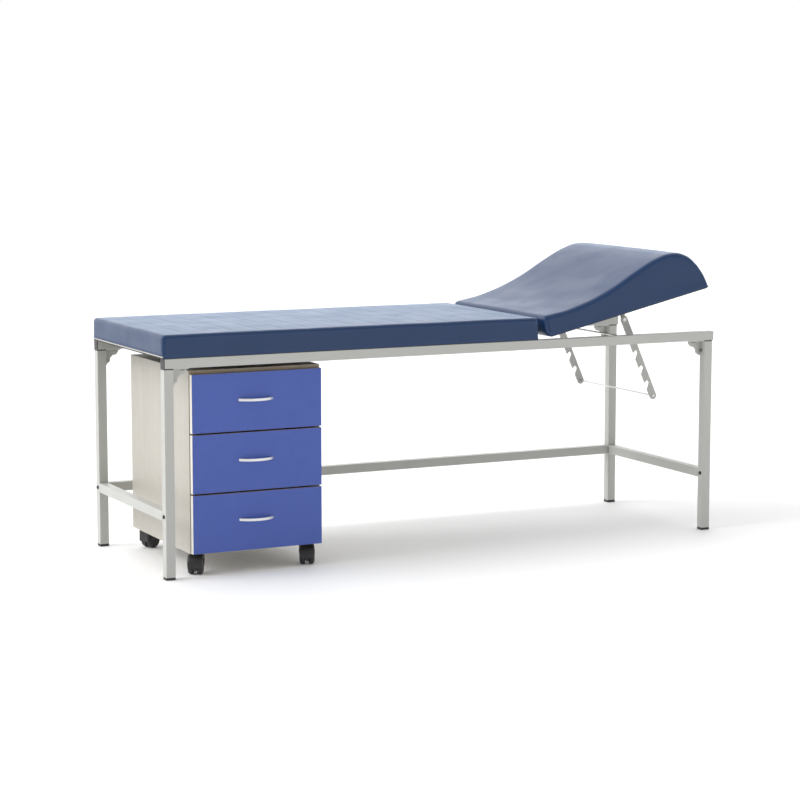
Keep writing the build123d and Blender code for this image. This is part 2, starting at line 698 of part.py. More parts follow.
def make_housing(corner):
    """A rounded hood over both wheels, and a web between them that carries the axle."""
    stem_x, stem_y = caster_stems()[corner]
    axle = (WHEEL_TRAIL, WHEEL_R)
    rear = WHEEL_TRAIL + HOOD_CLEAR_R + 2
    crown_z = HOOD_TOP - HOOD_CROWN_R
    with BuildPart() as housing:
        with BuildSketch(wheel_plane(corner, HOOD_HALF)):
            with BuildLine():
                crown = TangentArc((rear - HOOD_CROWN_R, HOOD_TOP), (rear, crown_z), tangent=(1, 0))
                nose_start = (-HOOD_NOSE, HOOD_TOP - HOOD_NOSE_R)
                nose = TangentArc(nose_start, (HOOD_NOSE_R - HOOD_NOSE, HOOD_TOP), tangent=(0, 1))
                Line(nose @ 1, crown @ 0)
                Polyline(crown @ 1, (rear, HOOD_SKIRT), (-HOOD_NOSE, HOOD_SKIRT), nose @ 0)
            make_face()
        extrude(amount=2 * HOOD_HALF)
        across = wheel_plane(corner, 0).z_dir
        sides = housing.faces().filter_by(Axis((0, 0, 0), across)).edges()
        fillet(sides.filter_by(lambda edge: edge.center().Z > HOOD_SKIRT + 1), radius=HOOD_SHOULDER_R)
        with BuildSketch(wheel_plane(corner, HOOD_HALF + 1)):
            with Locations(axle):
                Circle(HOOD_CLEAR_R)
            with Locations((WHEEL_TRAIL, WHEEL_R / 2)):
                Rectangle(2 * HOOD_CLEAR_R, WHEEL_R)
        extrude(amount=2 * HOOD_HALF + 2, mode=Mode.SUBTRACT)
        with BuildSketch(wheel_plane(corner, WEB_HALF)):
            with Locations(axle):
                Circle(HOOD_CLEAR_R + 1)
            with Locations((WHEEL_TRAIL, WEB_BOTTOM - WHEEL_R)):
                Rectangle(3 * WHEEL_R, 2 * WHEEL_R, mode=Mode.SUBTRACT)
            with Locations(axle):
                Circle(AXLE_R + CASTER_FIT, mode=Mode.SUBTRACT)
        extrude(amount=2 * WEB_HALF)
        bore_start = (stem_x, stem_y, HOOD_TOP - STEM_DEPTH)
        span_rod(bore_start, (0, 0, 1), STEM_R + CASTER_FIT, STEM_DEPTH + 1, mode=Mode.SUBTRACT)
    write(housing.part, f"caster_{corner}_housing")


def make_wheels(corner):
    """Two domed wheels on one axle."""
    axle = (WHEEL_TRAIL, WHEEL_R)
    along_axle = Axis((0, 0, 0), wheel_plane(corner, 0).z_dir)
    near, far = WHEEL_FACES
    with BuildPart() as wheels:
        for outer, inner in ((-near, -far), (far, near)):
            with BuildSketch(wheel_plane(corner, outer)):
                with Locations(axle):
                    Circle(WHEEL_R)
            extrude(amount=outer - inner)
        rims = wheels.edges().filter_by(GeomType.CIRCLE).sort_by(along_axle)
        fillet(rims[1:3], radius=WHEEL_ROUND_INNER)
        rims = wheels.edges().filter_by(GeomType.CIRCLE).sort_by(along_axle)
        fillet([rims[0], rims[-1]], radius=WHEEL_ROUND_OUTER)
        with BuildSketch(wheel_plane(corner, near + 1)):
            with Locations(axle):
                Circle(AXLE_R)
        extrude(amount=2 * near + 2)
    write(wheels.part, f"caster_{corner}_wheels")


def make_caster_plates():
    plates = []
    for stem_x, stem_y in caster_stems().values():
        with BuildPart() as plate:
            span_box((stem_x - 20, stem_x + 20), (stem_y - 20, stem_y + 20), (HOOD_TOP + 1.5, CAB_Z[0]))
            fillet(plate.edges().filter_by(Axis.Z), radius=5)
            stem_start = (stem_x, stem_y, HOOD_TOP - STEM_DEPTH + 1)
            span_rod(stem_start, (0, 0, 1), STEM_R, STEM_DEPTH + 1.5)
        plates.append(plate.part)
    write(gather(plates), "caster_plates")


make_rails()
make_legs()
make_stretchers()
make_cross_members()
make_caps()
make_brackets()
make_main_pad()
make_headrest_pad()
make_headrest_hinge()
make_ratchet_bars()
make_ratchet_rods()
make_ratchet_lugs()
make_carcass()
make_cabinet_runners()
for level in range(DRAWER_COUNT):
    make_drawer(level)
for place in CASTER_HEADINGS:
    make_housing(place)
    make_wheels(place)
make_caster_plates()
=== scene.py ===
"""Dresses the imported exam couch: upholstered pads, painted tube frame, drawer cabinet and a plain studio."""

import json
import math

import bpy
import numpy as np
from mathutils import Matrix, Vector


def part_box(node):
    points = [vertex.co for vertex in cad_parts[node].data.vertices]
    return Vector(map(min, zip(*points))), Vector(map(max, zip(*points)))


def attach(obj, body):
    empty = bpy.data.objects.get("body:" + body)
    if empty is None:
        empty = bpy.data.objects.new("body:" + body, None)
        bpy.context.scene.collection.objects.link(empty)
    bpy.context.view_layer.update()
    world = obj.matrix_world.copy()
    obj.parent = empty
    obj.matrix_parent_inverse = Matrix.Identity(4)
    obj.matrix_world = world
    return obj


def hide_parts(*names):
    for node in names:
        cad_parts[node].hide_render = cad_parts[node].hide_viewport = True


bl_info = {
    "name": "Exam Couch",
    "version": (1, 0, 0),
    "blender": (4, 5, 0),
    "location": "View3D > Sidebar > Exam Couch",
    "description": "Upholstery, finishes and studio for an exam couch with a drawer cabinet",
    "category": "Object",
}

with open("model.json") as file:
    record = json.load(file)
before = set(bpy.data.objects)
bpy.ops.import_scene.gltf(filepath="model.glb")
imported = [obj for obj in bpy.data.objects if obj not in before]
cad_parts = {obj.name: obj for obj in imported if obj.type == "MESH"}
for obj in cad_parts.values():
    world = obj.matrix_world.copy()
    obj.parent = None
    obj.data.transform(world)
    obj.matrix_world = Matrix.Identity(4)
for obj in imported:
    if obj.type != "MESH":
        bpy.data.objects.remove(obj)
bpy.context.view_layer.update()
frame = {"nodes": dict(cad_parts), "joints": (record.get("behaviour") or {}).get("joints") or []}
NODES = frame["nodes"]
JOINTS = {joint["name"]: joint for joint in frame["joints"]}
MM = 0.001
CORNERS = ("front_left", "front_right", "back_left", "back_right")

# Pad shapes, in metres
CROWN_REACH = 0.07  # from an edge to where the main pad's crown has mostly risen
HEADREST_CROWN = 2.0 * MM
HEADREST_CROWN_REACH = 0.06
CHANNEL_WIDTH = 7 * MM
CHANNEL_WANDER = 1.5 * MM
CHANNEL_FADE = 0.06  # from a side to where a channel has its full depth
PULL_REACH = 14 * MM  # how far in from a side or an end its pull is felt
CORNER_HOLD = 0.08  # along a side, from a corner to where it is pulled in fully
HEM_ROUND = 2.5 * MM  # radius of the lower edges of the main pad's ends
HEM_SUNK = 0.4 * MM
CORNER_SUNK = 0.3 * MM
SKIRT_BAND = 4 * MM  # the cover this near a side and the base is drawn down over the board
SKIRT_GAP = 1 * MM
HEAD_TILT = math.radians(13.0)  # the headrest's base above level, at rest

# The headrest seen from its side, in millimetres from its hinge along its base and square to it
HEADREST_CREST = [(31, 31), (70, 29.3), (120, 29), (210, 37.5), (300, 57), (373, 79), (445, 99)]
HEADREST_CREST += [(490, 106.5), (522, 108), (560, 101), (596, 78), (622, 44)]
HEADREST_NOSE = [(622, 44), (639, 8), (648, -24)]

# Finishes with no setting of their own
BOLT_ZINC = (0.24, 0.24, 0.235)
ROD_ZINC = (0.60, 0.60, 0.58)
RUNNER_ZINC = (0.62, 0.62, 0.60)
DARK_SCREW = (0.06, 0.06, 0.06)
BOARD_STAIN = (0.018, 0.018, 0.018)
# Pale colour painted on the board's foot-end edge as a highlight, standing in for that edge catching the light
FOOT_EDGE_HIGHLIGHT = (0.50, 0.49, 0.46, 1.0)
FOOT_EDGE_HIGHLIGHT_HEIGHT = 4.5 * MM  # height of the painted highlight on the board's foot-end edge
SHEEN_TINT = (0.50, 0.70, 1.0, 1.0)
LINKAGE_SHADE = 0.92
TREAD_SHADE = 1.15
PEBBLE_SCALE = 620.0
UPRIGHT_GRAIN = (55.0, 55.0, 2.2)
LEVEL_GRAIN = (2.2, 55.0, 55.0)
BOX_GRAIN = (2.0, 40.0, 40.0)
BOARD_GRAIN = (6.0, 90.0, 200.0)
BRUSHING = (12.0, 900.0, 900.0)

# Studio
CAMERA_PLACE = (-3.4181, -6.9072, 1.4478)
CAMERA_TURN = (82.6844, 0.0, -26.1126)
KEY_HEADING = (0.75, -0.12, -0.65)
FILL_HEADING = (-0.30, 0.93, -0.12)
SUN_SPREAD = math.radians(35)
FLOOR_REACH = 30.0


# ---- Settings a user would change ----
def colour_setting(name, description, default):
    return bpy.props.FloatVectorProperty(
        name=name, description=description, default=default, subtype="COLOR", size=3, min=0.0, max=1.0
    )


def length_setting(name, description, default):
    return bpy.props.FloatProperty(
        name=name,
        description=description,
        default=default,
        unit="LENGTH",
        subtype="DISTANCE",
        min=0.0,
        precision=4,
    )


class ExamCouchPads(bpy.types.PropertyGroup):
    """Sizes and colour of the upholstery."""

    vinyl: colour_setting("Vinyl", "Colour of the pads' covers", (0.007, 0.031, 0.098))
    crown: length_setting("Crown", "How far the middle of the main pad stands above its edges", 3 * MM)
    edge_round: length_setting("Edge round", "Radius of the main pad's upper edges and corners", 12 * MM)
    headrest_round: length_setting("Headrest round", "Radius of the headrest's side edges", 15.6 * MM)
    channel_pitch: length_setting("Channel pitch", "Distance between the main pad's sewn channels", 80 * MM)
    channel_depth: length_setting("Channel depth", "Depth of the sewn channels", 0.9 * MM)
    seam: length_setting("Seam", "Radius of the raised seams up the corners and along the two ends", 1.3 * MM)


class ExamCouchFinishes(bpy.types.PropertyGroup):
    """Colours of the frame and the cabinet."""

    frame_paint: colour_setting(
        "Frame paint", "Powder coat on the tubes and the ratchet", (0.475, 0.48, 0.455)
    )
    black_plastic: colour_setting("Black plastic", "Foot caps, plugs and casters", (0.022, 0.022, 0.024))
    cap_grey: colour_setting("Grey plastic", "Caps on the head ends of the rails", (0.42, 0.42, 0.40))
    carcass: colour_setting("Carcass", "Laminate on the cabinet's panels", (0.47, 0.445, 0.395))
    carcass_edge: colour_setting("Carcass edge", "Edge strip on the cabinet's panels", (0.38, 0.31, 0.22))
    drawer_face: colour_setting("Drawer face", "Laminate on the drawer fronts", (0.058, 0.105, 0.40))
    drawer_edge: colour_setting("Drawer edge", "Edge strip on the drawer fronts", (0.80, 0.77, 0.71))
    drawer_box: colour_setting("Drawer box", "Inside of the drawers", (0.72, 0.70, 0.65))
    handle: colour_setting("Handle", "Satin metal of the handles", (0.70, 0.70, 0.71))


class ExamCouchStage(bpy.types.PropertyGroup):
    """The plain studio."""

    floor: colour_setting("Floor", "Colour of the floor", (0.97, 0.97, 0.97))
    bright_side: bpy.props.FloatProperty(
        name="Bright side", description="Light from the wall behind the couch", default=1.6, min=0.0
    )
    dim_side: bpy.props.FloatProperty(
        name="Dim side", description="Light from the room in front of the couch", default=0.28, min=0.0
    )
    key_strength: bpy.props.FloatProperty(
        name="Key light", description="Strength of the soft light from the foot end", default=1.35, min=0.0
    )
    fill_strength: bpy.props.FloatProperty(
        name="Fill light", description="Strength of the low soft light from the front", default=0.35, min=0.0
    )
    lens: bpy.props.FloatProperty(
        name="Lens", description="Focal length", default=106.21, min=20.0, unit="CAMERA"
    )


# ---- Materials ----
class Finish:
    """A Principled material, and short calls that add the nodes it is built from."""

    def __init__(self, name, colour, roughness, **values):
        self.material = bpy.data.materials.new(name)
        self.material.use_nodes = True
        self.tree = self.material.node_tree
        self.shader = self.tree.nodes["Principled BSDF"]
        self.colour = (*colour, 1.0)
        self.shader.inputs["Base Color"].default_value = self.colour
        self.shader.inputs["Roughness"].default_value = roughness
        for socket, value in values.items():
            self.shader.inputs[socket.replace("_", " ")].default_value = value
        self.place = self.node("ShaderNodeTexCoord").outputs

    def node(self, kind, inputs=None, **settings):
        made = self.tree.nodes.new(kind)
        for key, value in settings.items():
            setattr(made, key, value)
        for key, value in (inputs or {}).items():
            self.feed(made.inputs[key], value)
        return made

    def feed(self, socket, value):
        if isinstance(value, bpy.types.NodeSocket):
            self.tree.links.new(value, socket)
        else:
            socket.default_value = value

    def stretched(self, scale):
        """Object coordinates with each axis scaled, for grain that runs one way."""
        inputs = {"Vector": self.place["Object"], "Scale": scale}
        return self.node("ShaderNodeMapping", inputs).outputs["Vector"]

    def noise(self, scale, detail=3.0, rough=0.5, vector=None):
        place = vector or self.place["Object"]
        inputs = {"Vector": place, "Scale": scale, "Detail": detail, "Roughness": rough}
        return self.node("ShaderNodeTexNoise", inputs).outputs["Fac"]

    def cells(self, scale, smooth=0.4):
        inputs = {"Vector": self.place["Object"], "Scale": scale, "Smoothness": smooth}
        return self.node("ShaderNodeTexVoronoi", inputs, feature="SMOOTH_F1").outputs["Distance"]

    def spread(self, value, low, high, start=0.3, end=0.7):
        inputs = {"Value": value, "From Min": start, "From Max": end, "To Min": low, "To Max": high}
        return self.node("ShaderNodeMapRange", inputs).outputs["Result"]

    def maths(self, operation, first, second):
        made = self.node("ShaderNodeMath", operation=operation)
        self.feed(made.inputs[0], first)
        self.feed(made.inputs[1], second)
        return made.outputs[0]

    def mix(self, factor, first, second):
        made = self.node("ShaderNodeMix", data_type="RGBA")
        self.feed(made.inputs["Factor"], factor)
        self.feed(made.inputs["A"], first)
        self.feed(made.inputs["B"], second)
        return made.outputs["Result"]

    def shade(self, amount):
        """The base colour made darker or lighter by a factor."""
        return tuple(channel * amount for channel in self.colour[:3]) + (1.0,)

    def mottle(self, scale, amount):
        """Slow change of the base colour across the surface."""
        return self.mix(self.noise(scale), self.shade(1 - amount), self.shade(1 + amount))

    def paint(self, colour):
        self.feed(self.shader.inputs["Base Color"], colour)
        return self

    def gloss(self, low, high, scale):
        self.feed(self.shader.inputs["Roughness"], self.spread(self.noise(scale), low, high))
        return self

    def relief(self, height, depth, strength, under=None):
        """Bumps of a depth in metres, over another relief if there is one under them."""
        inputs = {"Height": height, "Distance": depth, "Strength": strength}
        if under is not None:
            inputs["Normal"] = under
        bumped = self.node("ShaderNodeBump", inputs).outputs["Normal"]
        self.feed(self.shader.inputs["Normal"], bumped)
        return bumped

    def facing(self, axis, low=-1.1, high=-0.7):
        """1 on faces whose own normal along an axis lies between two values."""
        normal = self.node("ShaderNodeSeparateXYZ", {"Vector": self.place["Normal"]}).outputs[axis]
        above = self.maths("GREATER_THAN", normal, low)
        return self.maths("MULTIPLY", above, self.maths("LESS_THAN", normal, high))

    def facing_both(self, axis):
        """1 on faces that look either way along an axis."""
        return self.maths("ADD", self.facing(axis), self.facing(axis, 0.7, 1.1))


def powder_coat(name, colour):
    """Satin paint with a fine orange peel and slow unevenness."""
    finish = Finish(name, colour, 0.42, Coat_Weight=0.12, Coat_Roughness=0.35)
    finish.paint(finish.mottle(9.0, 0.035)).gloss(0.36, 0.50, 14.0)
    orange_peel = finish.noise(420.0, 2.0)
    finish.relief(finish.noise(5.0), 1.2 * MM, 0.10, under=finish.relief(orange_peel, 0.10 * MM, 0.5))
    return finish.material


def moulded_plastic(name, colour, roughness=0.45):
    """Plastic with a spark-eroded texture and faint blotches."""
    finish = Finish(name, colour, roughness)
    finish.paint(finish.mottle(60.0, 0.14)).gloss(roughness - 0.07, roughness + 0.08, 90.0)
    finish.relief(finish.cells(1600.0), 0.05 * MM, 0.6)
    return finish.material


def plated_steel(name, colour, roughness=0.32):
    """Zinc plate with cloudy gloss."""
    finish = Finish(name, colour, roughness, Metallic=1.0)
    finish.paint(finish.mottle(160.0, 0.10)).gloss(roughness - 0.08, roughness + 0.14, 260.0)
    finish.relief(finish.noise(900.0, 4.0), 0.03 * MM, 0.5)
    return finish.material


def brushed_metal(name, colour, along):
    """Satin metal with fine lines that run one way."""
    finish = Finish(name, colour, 0.30, Metallic=1.0, Anisotropic=0.5)
    lines = finish.noise(1.0, 4.0, vector=finish.stretched(along))
    finish.paint(finish.mix(lines, finish.shade(0.90), finish.shade(1.08)))
    finish.feed(finish.shader.inputs["Roughness"], finish.spread(lines, 0.24, 0.40))
    finish.relief(lines, 0.03 * MM, 0.5)
    return finish.material


def vinyl_cover(name, colour):
    """Coated cloth with a pressed leather grain: pebbles a millimetre or two across and slow creases."""
    finish = Finish(name, colour, 0.36, Specular_IOR_Level=0.40, Sheen_Weight=0.70, Sheen_Roughness=0.22)
    finish.shader.inputs["Sheen Tint"].default_value = SHEEN_TINT
    warp = finish.noise(60.0, 2.0)
    cells = finish.cells(PEBBLE_SCALE, 0.7)
    pebbles = finish.maths("ADD", cells, finish.maths("MULTIPLY", warp, 0.25))
    tone = finish.mix(finish.spread(cells, 0.0, 1.0, 0.1, 0.6), finish.shade(0.90), finish.shade(1.10))
    finish.paint(finish.mix(finish.noise(6.0), tone, finish.shade(1.16)))
    finish.gloss(0.31, 0.41, 11.0)
    grain = finish.relief(pebbles, 0.14 * MM, 0.55)
    creases = finish.noise(16.0, 3.0, vector=finish.stretched((1.0, 0.35, 1.0)))
    finish.relief(creases, 2.2 * MM, 0.20, under=grain)
    return finish.material


def laminate(name, colour, edge, grain_along, edge_axes):
    """Printed wood laminate with fine straight grain; faces that look along edge_axes wear the edge strip."""
    finish = Finish(name, colour, 0.45)
    streaks = finish.noise(1.0, 5.0, 0.6, vector=finish.stretched(grain_along))
    grain = finish.mix(finish.spread(streaks, 0.0, 1.0), finish.shade(0.90), finish.shade(1.06))
    grain = finish.mix(finish.noise(3.0), grain, finish.shade(1.03))
    on_edge = None
    for axis in edge_axes:
        both = finish.facing_both(axis)
        on_edge = both if on_edge is None else finish.maths("MAXIMUM", on_edge, both)
    if on_edge is not None:
        strip = finish.mix(finish.spread(streaks, 0.0, 1.0), (*[c * 0.88 for c in edge], 1.0), (*edge, 1.0))
        grain = finish.mix(on_edge, grain, strip)
    finish.paint(grain).gloss(0.38, 0.52, 24.0)
    finish.relief(streaks, 0.12 * MM, 0.4)
    return finish.material


def drawer_front(name, colour, edge, bare):
    """Blue laminate on the face and the back, pale strip up the sides, bare board above and below."""
    finish = Finish(name, colour, 0.42, Specular_IOR_Level=0.4)
    blue = finish.mix(finish.noise(5.0), finish.mottle(40.0, 0.05), finish.shade(1.08))
    sides = finish.mix(finish.facing_both("X"), blue, (*edge, 1.0))
    edged = finish.mix(finish.facing_both("Z"), sides, (*bare, 1.0))
    finish.paint(edged).gloss(0.34, 0.44, 30.0)
    finish.relief(finish.noise(700.0, 2.0), 0.04 * MM, 0.5)
    return finish.material


def pad_board(name, colour):
    """Stained board under a pad, with a pale painted highlight along the upper half of its foot-end edge,
    where that edge catches the light.
    """
    finish = Finish(name, colour, 0.6)
    grain = finish.noise(1.0, 5.0, vector=finish.stretched(BOARD_GRAIN))
    dark = finish.mix(grain, finish.shade(0.7), finish.shade(1.5))
    height = finish.node("ShaderNodeSeparateXYZ", {"Vector": finish.place["Object"]}).outputs["Z"]
    # Painted highlight: the upper strip of the foot-end face is painted pale, as if lit
    upper = finish.maths("GREATER_THAN", height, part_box("main_pad_board")[1].z - FOOT_EDGE_HIGHLIGHT_HEIGHT)
    painted_highlight = finish.maths("MULTIPLY", upper, finish.facing("X"))
    finish.paint(finish.mix(painted_highlight, dark, FOOT_EDGE_HIGHLIGHT))
    finish.relief(grain, 0.2 * MM, 0.5)
    return finish.material


def wear(material, *nodes):
    """Give CAD nodes a material in place of their plain one."""
    for node in nodes:
        slots = NODES[node].material_slots
        for slot in slots:
            slot.material = material
        if not slots:
            NODES[node].data.materials.append(material)


# ---- Upholstery ----
def resample(points, count):
    """Points at even steps along a line of points."""
    points = np.array(points, float)
    steps = np.hypot(*(points[1:] - points[:-1]).T)
    along = np.concatenate(([0.0], np.cumsum(steps)))
    wanted = np.linspace(0.0, along[-1], count + 1)
    return np.stack([np.interp(wanted, along, points[:, k]) for k in range(2)], axis=1)


def corner_arc(centre, radius, start, end, steps):
    """Points round part of a circle, between two angles in degrees."""
    angles = np.radians(np.linspace(start, end, steps + 1))
    return [(centre[0] + radius * math.cos(a), centre[1] + radius * math.sin(a)) for a in angles]


def smooth_line(points, steps=12):
    """A smooth line through points, with each point's direction taken from its neighbours."""
    points = [np.array(p, float) for p in points]
    ends = [2 * points[0] - points[1], *points, 2 * points[-1] - points[-2]]
    line = []
    for before, start, end, after in zip(ends, ends[1:], ends[2:], ends[3:]):
        for t in np.linspace(0.0, 1.0, steps, endpoint=False):
            line.append(
                0.5
                * (
                    2 * start
                    + (end - before) * t
                    + (2 * before - 5 * start + 4 * end - after) * t**2
                    + (3 * start - before - 3 * end + after) * t**3
                )
            )
    return [*line, points[-1]]


class PadOutline:
    """A pad seen from its side: low, high, foot and head lines that share their corners."""

    def __init__(self, low, high, foot, head, columns, rows):
        self.low = resample(low, columns)
        self.high = resample(high, columns)
        self.foot = resample(foot, rows)
        self.head = resample(head, rows)
        self.columns = columns
        self.rows = rows

    def grid(self):
        """Every point of the filled side, from its four lines, as rows of (u, v)."""
        s = np.linspace(0, 1, self.columns + 1)[None, :, None]
        t = np.linspace(0, 1, self.rows + 1)[:, None, None]
        between = (1 - t) * self.low[None] + t * self.high[None]
        across = (1 - s) * self.foot[:, None] + s * self.head[:, None]
        corners = (1 - s) * (1 - t) * self.low[0] + s * (1 - t) * self.low[-1]
        corners = corners + (1 - s) * t * self.high[0] + s * t * self.high[-1]
        return between + across - corners

    def shrunk(self, amount, floor_share=0.15, floor_band=12 * MM):
        """The same outline moved inward by an amount, and by less where the pad rests on its board."""
        ring = self.ring(self.grid())
        ahead = np.roll(ring, -1, axis=0) - np.roll(ring, 1, axis=0)
        normal = np.stack([-ahead[:, 1], ahead[:, 0]], axis=1)
        normal /= np.maximum(np.linalg.norm(normal, axis=1, keepdims=True), 1e-9)
        low_edge = self.low[:, 1].min()
        rise = np.clip((ring[:, 1] - low_edge) / floor_band, 0, 1)
        share = floor_share + (1 - floor_share) * rise
        moved = ring + normal * (amount * share)[:, None]
        columns, rows = self.columns, self.rows
        low, head = moved[: columns + 1], moved[columns : columns + rows + 1]
        high = moved[columns + rows : 2 * columns + rows + 1][::-1]
        foot = np.concatenate([moved[2 * columns + rows :], moved[:1]])[::-1]
        return PadOutline.exact(low, high, foot, head, columns, rows)

    @staticmethod
    def exact(low, high, foot, head, columns, rows):
        outline = PadOutline.__new__(PadOutline)
        outline.low, outline.high, outline.foot, outline.head = low, high, foot, head
        outline.columns, outline.rows = columns, rows
        return outline

    @staticmethod
    def ring(grid):
        """The border of a grid, once round, anticlockwise from the lower foot corner."""
        return np.concatenate([grid[0, :-1], grid[:-1, -1], grid[-1, :0:-1], grid[:0:-1, 0]])


def pad_mesh(name, outline, half_width, edge_round, stations):
    """A closed pad: the outline carried across the couch, rounded where it meets the two flat sides."""
    turns = np.radians(np.linspace(0, 90, 6))
    ys = [(half_width - edge_round + edge_round * math.sin(a), edge_round * (1 - math.cos(a))) for a in turns]
    plan = [(-y, inset) for y, inset in reversed(ys)]
    plan += [(y, 0.0) for y in np.linspace(-ys[0][0], ys[0][0], stations)[1:-1]]
    plan += ys
    verts, faces = [], []
    ring_size = 2 * (outline.columns + outline.rows)
    for y, inset in plan:
        ring = outline.ring(outline.shrunk(inset).grid())
        verts += [(u, y, v) for u, v in ring]
    for row in range(len(plan) - 1):
        for k in range(ring_size):
            a, b = row * ring_size + k, row * ring_size + (k + 1) % ring_size
            faces.append((a, a + ring_size, b + ring_size, b))
    for row, flipped in ((0, False), (len(plan) - 1, True)):
        y, inset = plan[row]
        grid = outline.shrunk(inset).grid()
        index = np.zeros(grid.shape[:2], int)
        columns, rows = outline.columns, outline.rows
        border = [(0, i) for i in range(columns)] + [(k, columns) for k in range(rows)]
        border += [(rows, i) for i in range(columns, 0, -1)] + [(k, 0) for k in range(rows, 0, -1)]
        for k, cell in enumerate(border):
            index[cell] = row * ring_size + k
        for k in range(1, rows):
            for i in range(1, columns):
                index[k, i] = len(verts)
                verts.append((grid[k, i, 0], y, grid[k, i, 1]))
        for k in range(rows):
            for i in range(columns):
                quad = [index[k, i], index[k, i + 1], index[k + 1, i + 1], index[k + 1, i]]
                faces.append(tuple(reversed(quad)) if flipped else tuple(quad))
    mesh = bpy.data.meshes.new(name)
    mesh.from_pydata([tuple(map(float, v)) for v in verts], [], [tuple(map(int, f)) for f in faces])
    mesh.validate()
    mesh.shade_smooth()
    return mesh


def mesh_points(mesh):
    """Where every point of a mesh is, as rows of (x, y, z)."""
    points = np.empty(len(mesh.vertices) * 3)
    mesh.vertices.foreach_get("co", points)
    return points.reshape(-1, 3)


def move_points(mesh, points):
    """Put every point of a mesh at a new place."""
    mesh.vertices.foreach_set("co", points.ravel())
    mesh.update()


def ripple(x, y, seed, waves=14, longest=0.5, shortest=0.12):
    """A slow seeded ripple of unit size over a flat area: a sum of waves at random angles."""
    rng = np.random.default_rng(seed)
    total = np.zeros_like(x)
    for _ in range(waves):
        length = rng.uniform(shortest, longest)
        angle = rng.uniform(0, math.pi)
        phase = rng.uniform(0, 2 * math.pi)
        total += np.sin(2 * math.pi * (x * math.cos(angle) + y * math.sin(angle)) / length + phase)
    return total / math.sqrt(waves)


def add_object(name, mesh, material, body):
    """A new piece with its material, on the body it moves with."""
    piece = bpy.data.objects.new(name, mesh)
    bpy.context.scene.collection.objects.link(piece)
    mesh.materials.clear()
    mesh.materials.append(material)
    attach(piece, body)
    return piece


def tube_mesh(name, lines, radius, sides=8):
    """Round beads with closed ends, one along each line of points."""
    verts, faces = [], []
    for line in lines:
        points = [Vector(p) for p in line]
        count = len(points)
        base = len(verts)
        for k, point in enumerate(points):
            before = points[k - 1] if k else point
            after = points[k + 1] if k < count - 1 else point
            ahead = (after - before).normalized()
            side = ahead.cross(Vector((0, 0, 1)) if abs(ahead.z) < 0.9 else Vector((1, 0, 0))).normalized()
            up = side.cross(ahead)
            for s in range(sides):
                angle = 2 * math.pi * s / sides
                verts.append(point + radius * (math.cos(angle) * side + math.sin(angle) * up))
        for k in range(count - 1):
            for s in range(sides):
                a, b = base + k * sides + s, base + k * sides + (s + 1) % sides
                faces.append((a, b, b + sides, a + sides))
        faces.append(tuple(base + s for s in reversed(range(sides))))
        faces.append(tuple(base + (count - 1) * sides + s for s in range(sides)))
    mesh = bpy.data.meshes.new(name)
    mesh.from_pydata([tuple(v) for v in verts], [], faces)
    mesh.shade_smooth()
    return mesh


